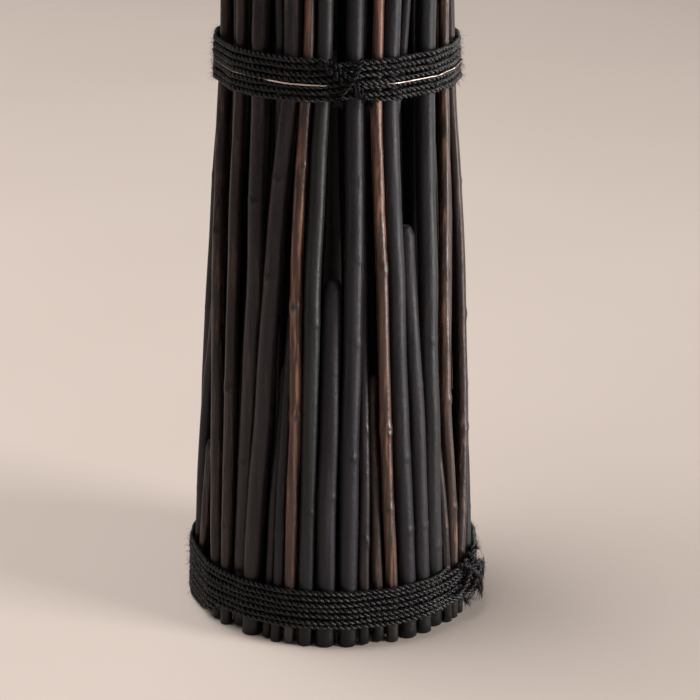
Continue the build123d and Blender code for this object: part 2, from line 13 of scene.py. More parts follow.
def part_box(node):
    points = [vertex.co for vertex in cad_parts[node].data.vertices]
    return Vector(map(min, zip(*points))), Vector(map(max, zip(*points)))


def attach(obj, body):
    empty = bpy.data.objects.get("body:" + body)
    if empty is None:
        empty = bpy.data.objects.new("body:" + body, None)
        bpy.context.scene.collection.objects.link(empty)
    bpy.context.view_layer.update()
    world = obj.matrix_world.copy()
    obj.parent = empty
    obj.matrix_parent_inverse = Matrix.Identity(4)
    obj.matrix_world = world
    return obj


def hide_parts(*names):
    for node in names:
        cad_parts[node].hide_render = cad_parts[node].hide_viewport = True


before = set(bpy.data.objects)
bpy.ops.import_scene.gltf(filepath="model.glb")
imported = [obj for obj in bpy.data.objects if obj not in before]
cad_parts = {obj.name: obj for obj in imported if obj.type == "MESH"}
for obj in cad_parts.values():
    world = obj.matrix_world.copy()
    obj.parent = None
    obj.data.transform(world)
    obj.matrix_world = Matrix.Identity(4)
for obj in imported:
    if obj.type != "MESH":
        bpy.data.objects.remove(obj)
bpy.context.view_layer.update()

MM = 0.001

# ---------------------------------------------------------------- sizes
RING_STEP = 6 * MM             # between rings of a full rod's skin
INNER_RING_STEP = 14 * MM
SEGMENTS = 24                  # round a rod
INNER_SEGMENTS = 14
SOFTENING = 14 * MM            # a rod's bends are averaged over this much up and down
CROOK = 0.5 * MM               # how far a rod wanders off its CAD line
CROOK_LENGTH = 50 * MM
STEADY_END = 30 * MM           # the wandering fades out over this length at both ends
SWELLING = 0.03                # slow changes of thickness, as a share of the radius
SWELLING_LENGTH = 90 * MM
BARK = 0.3 * MM                # thickness that the bark adds below the waist, which narrows the gaps
BARK_FADE = 100 * MM           # it thins to nothing over this length, up to WAIST
RIDGE = 0.10 * MM              # long shallow ridges in the bark
RIDGE_LENGTH = 120 * MM
WAIST = 420 * MM               # just above the waist binding
BEVEL = 0.7 * MM               # worn edge of a cut rod end
ROUNDED_TOP = 16 * MM          # of the front short rod, whose top is worn round
WORN_TOP = 4 * MM              # of the other short rods
FOOT_SHADE = (17 * MM, 55 * MM)      # painted shade: the rods' feet are darkened fully up to the first height and not at all from the second
CHARRED = (9 * MM, 2 * MM)     # the wick chars from and is black from this far under its top

CORD_DIAMETER = 4.1 * MM
CORD_GAP = 0.35 * MM           # between the cord and the rods
CORD_PITCH = 4.1 * MM
PLIES = 2
PLY_TWIST = 8.0 * MM           # length of one full twist
PLY_SIDES = 7
CORD_STEP = 1.1 * MM
CLIMB = 0.08                   # share of a turn in which the cord climbs to the next turn
FIBRE_RADIUS = 0.08 * MM
FIBRE_LENGTH = (1.5, 4.5)      # mm, least and most of a loose fibre
FIBRES_PER_TURN = 480
FIBRE_REACH = 105 * MM         # loose fibres hardly pass this far from the torch's axis
TURN_STEP = 0.8                # degrees between points of a binding's path
KNOT_WIDTH = 10                # degrees from a binding's start to the cord's end under the knot
TURN_WAVE = 0.55 * MM          # how unevenly a binding's turns lie, up and down
TURN_LIFT = 0.45 * MM          # and in and out
CORD_TUCK = 4 * MM             # how deep a binding's ends go in between the rods
PART_TURN_TUCK = 7 * MM
WIRE_RADIUS = 0.5 * MM
WIRE_SUNK = 0.1 * MM           # the wire's height over the cord's centre line where it is hidden
WIRE_PROUD = 2.0 * MM          # how much higher it lies where it shows

# First seeds of the random draws; a full rod's is 100 times its number
SHORT_ROD_SEED = 9000
INNER_ROD_SEED = 15000
BINDING_SEED = 20000

# name: (height of the lowest turn, turns, angle where the cord starts)
BINDINGS = {
    "base_rope": (15.6 * MM, 7, 66),
    "waist_rope": (371.2 * MM, 7, 6),
    "neck_rope": (758.0 * MM, 7, -38),
    "head_rope": (1123.0 * MM, 7, 24),
}
# Part turns below the base binding, round the back: (angle they leave, angle they reach)
BASE_PART_TURNS = [(60, -48), (66, -53), (84, -62)]
# Where the tie wire shows: (from angle, to angle)
WIRE_SHOWS = [(-36, -2), (22, 92), (140, 205)]

COPPER_RODS = ("rod_07", "rod_11", "rod_21", "rod_27")
BROWN_RODS = ("rod_15", "rod_19", "rod_24", "rod_30")
WARM_RODS = ("rod_01", "rod_03", "rod_16", "rod_17")
TINGED_RODS = ("rod_04", "rod_06", "rod_10", "rod_20", "rod_26")

# Bud scars on the rods that face the front: rod: [(height, angle off the rod's outward side, size)], mm
SCARS = {
    "rod_01": [(270, 20, 1.0), (118, -20, 0.9)],
    "rod_03": [(170, 30, 1.5), (72, 20, 1.0)],
    "rod_04": [(300, 10, 0.8), (120, 25, 0.9)],
    "rod_06": [(252, -20, 0.9), (318, 10, 0.8)],
    "rod_07": [(236, -10, 1.8), (161, 35, 1.7), (328, 30, 0.9)],
    "rod_08": [(225, 35, 0.8), (95, 30, 0.7)],
    "rod_09": [(318, 25, 0.9), (268, 35, 1.0), (212, 35, 0.9), (134, 10, 0.9)],
    "rod_10": [(74, 0, 1.5), (150, 20, 1.0)],
    "rod_11": [(261, 5, 1.6), (151, 10, 1.8), (96, -30, 1.4), (336, 30, 0.9)],
    "rod_12": [(78, 20, 1.1), (130, 15, 1.0)],
    "rod_14": [(205, -35, 0.8), (60, 15, 0.9)],
    "rod_15": [(247, -20, 1.8), (160, 10, 1.2), (82, 10, 1.1)],
    "rod_17": [(208, 30, 1.5), (130, 20, 1.6), (300, 30, 1.0)],
}

# Angle ranges of the short rods that are brown, in degrees
BROWN_SHORT_RODS = [(-80, -50), (8, 30), (50, 80)]
LISTED_SCARS_TOP = 400 * MM    # rods with listed scars have scattered ones only above this


# ---------------------------------------------------------------- small helpers
NOISE_KNOTS = 4096
NOISE_START = 2000             # keeps places a little below 0 among the knots


def smooth_noise(seed, positions, length):
    """Smooth one-dimensional noise, about -1 to 1, that changes over the given length."""
    knots = np.random.default_rng(seed).uniform(-1, 1, NOISE_KNOTS)
    at = np.asarray(positions) / length + NOISE_START
    low = np.floor(at).astype(int)
    t = at - low
    t = t * t * (3 - 2 * t)
    return knots[low % NOISE_KNOTS] * (1 - t) + knots[(low + 1) % NOISE_KNOTS] * t


def mesh_object(name, vertices, faces, material):
    mesh = bpy.data.meshes.new(name)
    mesh.from_pydata([tuple(v) for v in vertices], [], [tuple(f) for f in faces])
    mesh.materials.append(material)
    mesh.polygons.foreach_set("use_smooth", [True] * len(mesh.polygons))
    mesh.update()
    piece = bpy.data.objects.new(name, mesh)
    bpy.context.scene.collection.objects.link(piece)
    return piece


def tube_faces(rings, sides, first=0):
    """Quads between successive rings of vertices."""
    i, j = np.meshgrid(np.arange(rings - 1), np.arange(sides), indexing="ij")
    a = first + i * sides + j
    b = first + i * sides + (j + 1) % sides
    return np.stack([a, b, b + sides, a + sides], axis=-1).reshape(-1, 4)


def outward(angle):
    """Level unit vector away from the axis at an angle in degrees."""
    return np.array([math.sin(math.radians(angle)), -math.cos(math.radians(angle))])


# ---------------------------------------------------------------- where the rods run, read from the frame
def loose_parts(node):
    """The vertices of each separate solid of a CAD node, as arrays."""
    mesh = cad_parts[node].data
    points = np.array([v.co for v in mesh.vertices])
    welded = {}
    owner = np.array([welded.setdefault(tuple(np.round(p, 6)), i) for i, p in enumerate(points)])
    parent = np.arange(len(points))

    def root(i):
        while parent[i] != i:
            parent[i] = parent[parent[i]]
            i = parent[i]
        return i

    for edge in mesh.edges:
        a, b = (root(owner[i]) for i in edge.vertices)
        parent[a] = b
    groups = {}
    for i in set(owner):
        groups.setdefault(root(i), []).append(i)
    parts = [points[indices] for indices in groups.values()]
    return sorted(parts, key=lambda p: math.atan2(p[:, 0].mean(), -p[:, 1].mean()))


def rod_line(points):
    """A rod's rings as rows of height, x, y and radius, from the foot up."""
    heights = np.round(points[:, 2], 4)
    rows = []
    for z in np.unique(heights):
        ring = points[heights == z]
        if len(ring) < 8:      # a stray vertex of a cut end, not a ring
            continue
        low, high = ring[:, :2].min(0), ring[:, :2].max(0)
        centre = (low + high) / 2
        rows.append((z, *centre, (high - low).mean() / 2))
    return np.array(rows)


def at_height(line, z):
    """Centre and radius of a rod at height z."""
    return np.array([np.interp(z, line[:, 0], line[:, k]) for k in (1, 2, 3)])


full_rods = {name: rod_line(loose_parts(name)[0])
             for name in sorted(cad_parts) if name.startswith("rod_")}
short_rods = [rod_line(p) for p in loose_parts("short_rods")]
inner_rods = [rod_line(p) for p in loose_parts("inner_rods")]
all_rods = [*full_rods.values(), *short_rods, *inner_rods]


# ---------------------------------------------------------------- materials
class Surface:
    """A material being made. Its methods add nodes and return the socket that gives their result."""

    def __init__(self, name):
        self.material = bpy.data.materials.new(name)
        self.material.use_nodes = True
        self.nodes, self.links = self.material.node_tree.nodes, self.material.node_tree.links
        self.shader = self.nodes["Principled BSDF"]

    def fill(self, socket, value):
        """Gives an input socket a link, a colour or a number."""
        if isinstance(value, bpy.types.NodeSocket):
            self.links.new(value, socket)
        elif isinstance(value, tuple):
            socket.default_value = (*value, 1)
        else:
            socket.default_value = value

    def set(self, name, value):
        """Sets one of the shader's own inputs."""
        self.fill(self.shader.inputs[name], value)

    def place(self, *scale):
        """Object coordinates, which are the torch's own metres, scaled on each axis."""
        coordinates = self.nodes.new("ShaderNodeTexCoord")
        mapping = self.nodes.new("ShaderNodeMapping")
        mapping.inputs["Scale"].default_value = scale
        self.links.new(coordinates.outputs["Object"], mapping.inputs["Vector"])
        return mapping.outputs["Vector"]

    def noise(self, vector, scale, detail=3.0, roughness=0.5):
        noise = self.nodes.new("ShaderNodeTexNoise")
        noise.inputs["Scale"].default_value = scale
        noise.inputs["Detail"].default_value = detail
        noise.inputs["Roughness"].default_value = roughness
        self.links.new(vector, noise.inputs["Vector"])
        return noise.outputs["Fac"]

    def ramp(self, factor, *stops):
        """Colour ramp of (position, colour) stops; a colour is grey if it is one number."""
        ramp = self.nodes.new("ShaderNodeValToRGB")
        while len(ramp.color_ramp.elements) < len(stops):
            ramp.color_ramp.elements.new(0.5)
        for element, (position, colour) in zip(ramp.color_ramp.elements, stops):
            element.position = position
            element.color = (*colour, 1) if isinstance(colour, tuple) else (colour, colour, colour, 1)
        self.links.new(factor, ramp.inputs["Fac"])
        return ramp.outputs["Color"]

    def mix(self, kind, factor, a, b):
        """Mix of two colours; each argument is a socket or a constant."""
        mix = self.nodes.new("ShaderNodeMix")
        mix.data_type = "RGBA"
        mix.blend_type = kind
        for socket, value in ((mix.inputs["Factor"], factor), (mix.inputs[6], a), (mix.inputs[7], b)):
            self.fill(socket, value)
        return mix.outputs[2]

    def rise(self, place, low, high, least=0.0):
        """A share that climbs from least at height low to 1 at height high."""
        height = self.nodes.new("ShaderNodeSeparateXYZ")
        self.links.new(place, height.inputs["Vector"])
        share = self.nodes.new("ShaderNodeMapRange")
        share.inputs["From Min"].default_value = low
        share.inputs["From Max"].default_value = high
        share.inputs["To Min"].default_value = least
        self.links.new(height.outputs["Z"], share.inputs["Value"])
        return share.outputs["Result"]

    def bump(self, height, strength, distance, below=None):
        """Bump on the shader, over the bump below it if there is one."""
        bump = self.nodes.new("ShaderNodeBump")
        bump.inputs["Strength"].default_value = strength
        bump.inputs["Distance"].default_value = distance
        self.links.new(height, bump.inputs["Height"])
        if below is not None:
            self.links.new(below, bump.inputs["Normal"])
        self.set("Normal", bump.outputs["Normal"])
        return bump.outputs["Normal"]


def willow_material(name, dark, light, streak, gloss, streak_share, shine):
    """Bark: a dark stain over lighter streaks that run along the rod, blotches, fine grain, dark bud scars and a
    foot darkened by painted shade. dark and light are the stain's colours, streak that of the bark that shows
    through."""
    surface = Surface(name)
    along = surface.place(1, 1, 0.035)
    blotch_place = surface.place(1, 1, 0.22)
    stain = surface.ramp(surface.noise(along, 260, 4), (0.30, dark), (0.72, light))
    streaks = surface.ramp(surface.noise(along, 420, 5, 0.62),
                           (0.60 - streak_share, 0.0), (0.72 - streak_share, 1.0))
    blotches = surface.ramp(surface.noise(blotch_place, 55, 3), (0.38, 0.15), (0.62, 1.0))
    shown = surface.mix("MULTIPLY", 1.0, streaks, blotches)
    colour = surface.mix("MIX", shown, stain, streak)
    # Painted shade: the foot is darkened to near black, standing in for the shade under the base binding and
    # near the floor.
    unshaded_share = surface.rise(surface.place(1, 1, 1), *FOOT_SHADE, 0.08)
    colour = surface.mix("MIX", unshaded_share, (0.004, 0.004, 0.004), colour)
    scars = surface.nodes.new("ShaderNodeAttribute")
    scars.attribute_name = "scar"
    colour = surface.mix("MIX", scars.outputs["Fac"], colour, (0.003, 0.003, 0.003))
    surface.set("Base Color", colour)
    rough = surface.ramp(surface.noise(along, 330, 4), (0.25, gloss), (0.8, min(1.0, gloss + 0.25)))
    surface.set("Roughness", rough)
    surface.set("Specular IOR Level", shine)
    lumps = surface.place(1, 1, 0.7)
    bumps = surface.bump(surface.noise(lumps, 330, 4, 0.6), 0.75, 0.5 * MM)
    grain = surface.noise(along, 900, 4, 0.6)
    surface.bump(grain, 0.4, 0.25 * MM, bumps)
    return surface.material


def end_grain_material():
    """A cut rod end: rings about a pith, stained dark."""
    surface = Surface("willow_end_grain")
    place = surface.place(1, 1, 1)
    grain = surface.noise(place, 900, 5, 0.65)
    colour = surface.ramp(grain, (0.3, (0.012, 0.010, 0.009)), (0.7, (0.055, 0.040, 0.030)))
    surface.set("Base Color", colour)
    surface.set("Roughness", 0.85)
    surface.bump(grain, 0.5, 0.3 * MM)
    return surface.material


def cord_material(name, shine):
    """Black twisted fibre: dull, with glints where single fibres catch the light."""
    surface = Surface(name)
    place = surface.place(1, 1, 1)
    fibres = surface.noise(place, 2600, 3, 0.6)
    colour = surface.ramp(fibres, (0.35, (0.0008, 0.0008, 0.0011)), (0.75, (0.0035, 0.0035, 0.0045)))
    surface.set("Base Color", colour)
    rough = surface.ramp(surface.noise(place, 1500, 2), (0.38, 0.14), (0.6, 0.38))
    surface.set("Roughness", rough)
    surface.set("Specular IOR Level", shine)
    surface.set("Sheen Weight", 0.004)
    surface.set("Sheen Roughness", 0.4)
    surface.bump(fibres, 0.9, 0.35 * MM)
    return surface.material


def metal_material(name, colour, roughness, stretch, grain=0.15, tarnish=None):
    """Bare metal with fine scratches along the stretched axis and, if given, a tarnish in patches."""
    surface = Surface(name)
    lines = surface.noise(surface.place(*stretch), 900, 4, 0.7)
    patches = surface.noise(surface.place(1, 1, 1), 60, 4, 0.6)
    if tarnish is not None:
        shown = surface.ramp(patches, (0.45, 0.0), (0.72, 0.85))
        colour = surface.mix("MIX", shown, colour, tarnish)
    surface.set("Base Color", colour)
    surface.set("Metallic", 1.0)
    surface.set("Roughness", surface.ramp(lines, (0.3, roughness), (0.7, roughness + grain)))
    surface.bump(lines, 0.08, 0.1 * MM)
    return surface.material


def coated_material():
    """Satin black powder coat: fine orange peel and a little dust."""
    surface = Surface("black_steel")
    place = surface.place(1, 1, 1)
    dust = surface.noise(place, 90, 5, 0.6)
    colour = surface.ramp(dust, (0.4, (0.012, 0.012, 0.012)), (0.8, (0.035, 0.033, 0.031)))
    surface.set("Base Color", colour)
    surface.set("Roughness", surface.ramp(dust, (0.3, 0.38), (0.8, 0.6)))
    surface.bump(surface.noise(place, 1300, 2), 0.18, 0.15 * MM)
    return surface.material


def plywood_material():
    """Birch plywood stained dark on its faces, with its plies showing as level bands at the edge."""
    surface = Surface("plywood")
    plies = surface.noise(surface.place(0.02, 0.02, 1), 520, 1)
    grain = surface.noise(surface.place(0.05, 1, 1), 300, 4, 0.6)
    colour = surface.ramp(plies, (0.4, (0.09, 0.06, 0.035)), (0.6, (0.22, 0.15, 0.09)))
    shade = surface.ramp(grain, (0.3, 0.5), (0.7, 1.0))
    colour = surface.mix("MULTIPLY", 0.6, colour, shade)
    surface.set("Base Color", colour)
    surface.set("Roughness", 0.7)
    surface.bump(grain, 0.3, 0.2 * MM)
    return surface.material


def iron_material():
    """Bare cast iron: a sandy skin with a little rust."""
    surface = Surface("cast_iron")
    place = surface.place(1, 1, 1)
    sand = surface.noise(place, 700, 4, 0.65)
    colour = surface.ramp(sand, (0.35, (0.02, 0.02, 0.02)), (0.7, (0.07, 0.055, 0.045)))
    surface.set("Base Color", colour)
    surface.set("Metallic", 0.6)
    surface.set("Roughness", 0.72)
    surface.bump(sand, 0.6, 0.4 * MM)
    return surface.material


def rubber_material():
    """Dull black rubber, speckled by dust."""
    surface = Surface("gasket")
    speckle = surface.noise(surface.place(1, 1, 1), 800, 3)
    colour = surface.ramp(speckle, (0.3, (0.012, 0.012, 0.012)), (0.7, (0.03, 0.03, 0.03)))
    surface.set("Base Color", colour)
    surface.set("Roughness", 0.75)
    surface.bump(speckle, 0.2, 0.1 * MM)
    return surface.material


def wick_material(top):
    """Woven fibreglass, pale, charred towards its top end at that height."""
    surface = Surface("wick")
    place = surface.place(1, 1, 1)
    char = surface.rise(place, top - CHARRED[0], top - CHARRED[1])
    weave = surface.noise(place, 1600, 3)
    pale = surface.ramp(weave, (0.3, (0.42, 0.38, 0.30)), (0.7, (0.70, 0.66, 0.56)))
    colour = surface.mix("MIX", char, pale, (0.012, 0.010, 0.009))
    surface.set("Base Color", colour)
    surface.set("Roughness", 0.9)
    surface.bump(weave, 0.5, 0.2 * MM)
    return surface.material


def knob_material():
    """Turned hardwood, oiled, with its grain upright."""
    surface = Surface("knob_wood")
    grain = surface.noise(surface.place(1, 1, 0.12), 380, 5, 0.6)
    colour = surface.ramp(grain, (0.35, (0.035, 0.018, 0.010)), (0.65, (0.11, 0.055, 0.030)))
    surface.set("Base Color", colour)
    surface.set("Roughness", surface.ramp(grain, (0.3, 0.32), (0.7, 0.5)))
    surface.bump(grain, 0.15, 0.1 * MM)
    return surface.material


# Each bark: name, dark and light stain, the bark that shows through, roughness, how much of it shows, shine.
CHARCOAL = [
    willow_material("willow_charcoal_a", (0.007, 0.0065, 0.009), (0.022, 0.020, 0.025),
                    (0.044, 0.036, 0.039), 0.33, 0.02, 0.26),
    willow_material("willow_charcoal_b", (0.007, 0.006, 0.008), (0.023, 0.020, 0.0245),
                    (0.050, 0.039, 0.041), 0.36, 0.03, 0.26),
    willow_material("willow_charcoal_c", (0.007, 0.0075, 0.008), (0.019, 0.020, 0.022),
                    (0.038, 0.034, 0.035), 0.31, 0.00, 0.26),
]
TINGED = willow_material("willow_tinged", (0.008, 0.006, 0.0075), (0.025, 0.020, 0.023),
                         (0.075, 0.046, 0.041), 0.25, 0.05, 0.30)
WARM = willow_material("willow_warm", (0.009, 0.006, 0.006), (0.034, 0.022, 0.021),
                       (0.115, 0.060, 0.042), 0.28, 0.08, 0.32)
BROWN = willow_material("willow_brown", (0.011, 0.006, 0.005), (0.044, 0.024, 0.018),
                        (0.165, 0.085, 0.054), 0.27, 0.11, 0.46)
COPPER = willow_material("willow_copper", (0.013, 0.005, 0.004), (0.062, 0.024, 0.014),
                         (0.235, 0.106, 0.062), 0.26, 0.12, 0.56)
# The inner rods' bark is near black: painted shade for the dark inside of the bundle, not a darker stain.
INSIDE_SHADE = willow_material("willow_inside_painted_shade", (0.002, 0.002, 0.002), (0.006, 0.005, 0.006),
                         (0.010, 0.008, 0.008), 0.70, 0.02, 0.08)
END_GRAIN = end_grain_material()
CORD = cord_material("black_cord", 0.46)
TIED_CORD = cord_material("black_knot_cord", 0.20)
TIE_WIRE = metal_material("copper_wire", (0.80, 0.67, 0.60), 0.16, (1, 1, 1), 0.2, (0.38, 0.17, 0.10))


# ---------------------------------------------------------------- rods
def scar_marks(name, seed, foot, top):
    """Bud scars of one rod, listed and scattered: (height, angle off the outward side in radians, size)."""
    chosen = np.random.default_rng(seed)
    listed = SCARS.get(name, [])
    marks = [(z * MM, math.radians(angle), size * MM) for z, angle, size in listed]
    z = (LISTED_SCARS_TOP if listed else foot) + chosen.uniform(20, 90) * MM
    while z < top - 20 * MM:
        marks.append((z, chosen.uniform(-2.6, 2.6), chosen.uniform(0.4, 1.0) * MM))
        z += chosen.uniform(55, 130) * MM
    return marks


def ring_heights(foot, top, marks, step):
    """Evenly spaced rings, closer at each bud scar."""
    heights = [np.linspace(foot, top, max(3, int((top - foot) / step)))]
    for z, _, size in marks:
        heights.append(z + np.linspace(-3, 3, 9) * (size + 0.5 * MM))
    heights = np.unique(np.round(np.concatenate(heights), 5))
    return heights[(heights >= foot) & (heights <= top)]


def rod_shape(line, seed, marks, step, segments, taper_top=0.0):
    """Rings of vertices and scar strengths of one barked rod that follows its CAD line. The last taper_top of
    its length is rounded off."""
    foot, top = line[0, 0], line[-1, 0]
    heights = ring_heights(foot, top, marks, step)
    soft = [np.interp(heights + shift, line[:, 0], line[:, k])
            for k in (1, 2) for shift in (-SOFTENING, 0, SOFTENING)]
    wander = np.minimum(1, np.minimum(heights - foot, top - heights) / STEADY_END) * CROOK
    x = np.mean(soft[:3], axis=0) + wander * smooth_noise(seed, heights, CROOK_LENGTH)
    y = np.mean(soft[3:], axis=0) + wander * smooth_noise(seed + 1, heights, CROOK_LENGTH)
    swelling = 1 + SWELLING * smooth_noise(seed + 2, heights, SWELLING_LENGTH)
    radius = np.interp(heights, line[:, 0], line[:, 3]) * swelling
    radius = radius + BARK * np.clip((WAIST - heights) / BARK_FADE, 0, 1)
    if taper_top:
        t = np.clip((heights - (top - taper_top)) / taper_top, 0, 1)
        radius = radius * np.sqrt(1 - 0.6 * t ** 4)
    facing = math.atan2(y.mean(), x.mean())
    around = np.linspace(0, 2 * math.pi, segments, endpoint=False)
    reach = np.repeat(radius[:, None], segments, 1)
    scar = np.zeros_like(reach)
    # A bud scar is a low hill with a pit in its middle, on a faint collar all round the rod.
    for z, angle, size in marks:
        up = (heights[:, None] - z) / (size * 1.5 + 0.6 * MM)
        turned = np.angle(np.exp(1j * (around[None] - facing - angle)))
        side = (turned * radius[:, None]) / (size * 1.1 + 0.7 * MM)
        hill = np.exp(-(up ** 2 + side ** 2))
        pit = np.exp(-(up ** 2 + side ** 2) * 3)
        collar = np.exp(-up ** 2 * 0.5) * 0.25
        reach += size * (0.75 * hill - 0.8 * pit + collar)
        scar = np.maximum(scar, np.clip(1.3 * hill ** 1.7, 0, 1))
    # Ridges are three layers of noise round the rod, faded out where its two ends would not meet.
    for k in range(3):
        ridges = smooth_noise(seed + 5 + k, around * 3 + k * 2, 1.1)
        ridges *= 1 - np.abs(np.linspace(-1, 1, segments)) ** 8
        depth = 0.5 + 0.5 * smooth_noise(seed + 8 + k, heights, RIDGE_LENGTH)
        reach += RIDGE * ridges[None] * depth[:, None]
    points = np.empty((len(heights), segments, 3))
    points[..., 0] = x[:, None] + reach * np.cos(around)
    points[..., 1] = y[:, None] + reach * np.sin(around)
    points[..., 2] = heights[:, None]
    return points, scar


def end_rings(points, scar):
    """Adds a small worn bevel and a flat centre ring at both ends, so that the cut ends close cleanly."""
    rings = []
    for ring, side in ((points[0], 1), (points[-1], -1)):
        centre = ring.mean(0)
        inner = centre + (ring - centre) * (1 - BEVEL / np.linalg.norm(ring - centre, axis=1).mean())
        rim = ring.copy()
        rim[:, 2] += side * BEVEL * 0.8
        rings.append((rim, inner))
    (foot_rim, foot_face), (top_rim, top_face) = rings
    points = np.concatenate([[foot_face, foot_rim], points[1:-1], [top_rim, top_face]])
    scar = np.concatenate([[scar[0], scar[0]], scar[1:-1], [scar[-1], scar[-1]]])
    return points, scar


def rod_piece(name, rods, material):
    """One object made of barked rods, each given as (points, scar)."""
    vertices, faces, marks, ends = [], [], [], []
    for points, scar in rods:
        points, scar = end_rings(points, scar)
        first = sum(len(v) for v in vertices)
        rings, sides = scar.shape
        vertices.append(points.reshape(-1, 3))
        marks.append(scar.reshape(-1))
        faces += tube_faces(rings, sides, first).tolist()
        ends.append(list(range(first + sides - 1, first - 1, -1)))
        ends.append(list(range(first + (rings - 1) * sides, first + rings * sides)))
    piece = mesh_object(name, np.concatenate(vertices), faces + ends, material)
    piece.data.materials.append(END_GRAIN)
    for polygon in piece.data.polygons[len(faces):]:
        polygon.material_index = 1
        polygon.use_smooth = False
    attribute = piece.data.attributes.new("scar", "FLOAT", "POINT")
    attribute.data.foreach_set("value", np.concatenate(marks).astype(np.float32))
    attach(piece, "root")
    return piece


def rod_material(name, index):
    """A full rod's bark: its own where it is listed, or else one of the charcoal ones in turn."""
    for names, material in ((COPPER_RODS, COPPER), (BROWN_RODS, BROWN),
                            (WARM_RODS, WARM), (TINGED_RODS, TINGED)):
        if name in names:
            return material
    return CHARCOAL[index % len(CHARCOAL)]


def build_rods():
    """The full rods, one object each."""
    for index, (name, line) in enumerate(full_rods.items(), 1):
        seed = 100 * index
        marks = scar_marks(name, seed, line[0, 0], line[-1, 0])
        shape = rod_shape(line, seed, marks, RING_STEP, SEGMENTS)
        piece = rod_piece(f"bark_{name}", [shape], rod_material(name, index))
        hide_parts(name)


def build_short_rods():
    """The short rods, in two objects: stained ones and the browner ones."""
    stained, brown = [], []
    for index, line in enumerate(short_rods):
        seed = SHORT_ROD_SEED + 50 * index
        angle = math.degrees(math.atan2(line[:, 1].mean(), -line[:, 2].mean()))
        marks = scar_marks("", seed, line[0, 0], line[-1, 0])
        rounded = ROUNDED_TOP if abs(angle) < 5 else WORN_TOP
        shape = rod_shape(line, seed, marks, RING_STEP, SEGMENTS, rounded)
        is_brown = any(first < angle < last for first, last in BROWN_SHORT_RODS)
        (brown if is_brown else stained).append(shape)
    for piece in (rod_piece("bark_short_rods", stained, CHARCOAL[1]),
                  rod_piece("bark_short_brown_rods", brown, WARM)):
        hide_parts("short_rods")


def build_inner_rods():
    """The rods behind the outer ones, plainer and in one object; their near black bark is painted shade."""
    shapes = [rod_shape(line, INNER_ROD_SEED + 40 * i, [], INNER_RING_STEP, INNER_SEGMENTS)
              for i, line in enumerate(inner_rods)]
    piece = rod_piece("bark_inner_rods", shapes, INSIDE_SHADE)
    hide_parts("inner_rods")


# ---------------------------------------------------------------- cord
def tight_outline(z, offset):
    """The closed line that lies tight round the rods at height z, that far off them: its corners and their
    angles, in order of angle."""
    circles = np.array([at_height(line, z) for line in all_rods if line[-1, 0] > z - 4 * MM])
    around = np.radians(np.arange(0, 360, 3))
    reach = circles[:, 2:3] + offset
    x = (circles[:, 0:1] + reach * np.cos(around)).ravel()
    y = (circles[:, 1:2] + reach * np.sin(around)).ravel()
    order = np.lexsort((y, x))
    points = np.stack([x, y], -1)[order]

    def half(side):
        chain = []
        for p in side:
            while len(chain) > 1 and np.cross(chain[-1] - chain[-2], p - chain[-2]) <= 0:
                chain.pop()
            chain.append(p)
        return chain[:-1]

    hull = np.array(half(points) + half(points[::-1]))
    angles = np.degrees(np.arctan2(hull[:, 0], -hull[:, 1]))
    hull = hull[np.argsort(angles)]
    return hull, np.sort(angles)


class Outlines:
    """Tight outlines at a binding's heights, asked for by angle and height."""

    def __init__(self, low, high, offset):
        self.heights = np.linspace(low, high, 6)
        self.fine = np.arange(-180, 180, 0.5)
        self.radii = []
        for z in self.heights:
            hull, angles = tight_outline(z, offset)
            closed = np.concatenate([hull[-1:], hull, hull[:1]])
            turned = np.concatenate([[angles[-1] - 360], angles, [angles[0] + 360]])
            along = np.interp(self.fine, turned, np.arange(len(turned)))
            low_index = np.floor(along).astype(int).clip(0, len(closed) - 2)
            a, b = closed[low_index], closed[low_index + 1]
            ray = np.stack([np.sin(np.radians(self.fine)), -np.cos(np.radians(self.fine))], -1)
            edge = b - a
            self.radii.append(np.cross(a, edge) / np.cross(ray, edge))

    def radius(self, angle, z):
        """Distance from the axis to the outline, at angles in degrees and heights in metres."""
        wrapped = (np.asarray(angle) + 180) % 360 - 180
        rows = [np.interp(wrapped, self.fine, row, period=360) for row in self.radii]
        level = np.interp(z, self.heights, np.arange(len(self.heights)))
        low = np.floor(level).astype(int).clip(0, len(self.heights) - 2)
        rows = np.array(rows)
        index = np.arange(rows.shape[1])
        return rows[low, index] * (1 - level + low) + rows[low + 1, index] * (level - low)

    def points(self, angle, z, lift=0.0):
        reach = self.radius(angle, z) + lift
        turn = np.radians(angle)
        return np.stack([reach * np.sin(turn), -reach * np.cos(turn), z], -1)


def resampled(path, step):
    """The path with evenly spaced points, and each one's distance along it."""
    lengths = np.concatenate([[0], np.cumsum(np.linalg.norm(np.diff(path, axis=0), axis=1))])
    count = max(4, int(lengths[-1] / step))
    at = np.linspace(0, lengths[-1], count)
    return np.stack([np.interp(at, lengths, path[:, k]) for k in range(3)], -1), at


def curve_through(points, step):
    """Smooth path through a few points (Catmull-Rom), evenly spaced."""
    points = np.asarray(points, float)
    ends = np.concatenate([[2 * points[0] - points[1]], points, [2 * points[-1] - points[-2]]])
    path = []
    for a, b, c, d in zip(ends, ends[1:], ends[2:], ends[3:]):
        t = np.linspace(0, 1, 16, endpoint=False)[:, None]
        path.append(0.5 * (2 * b + (c - a) * t + (2 * a - 5 * b + 4 * c - d) * t ** 2
                           + (3 * b - a - 3 * c + d) * t ** 3))
    path.append(points[-1:])
    return resampled(np.concatenate(path), step)[0]


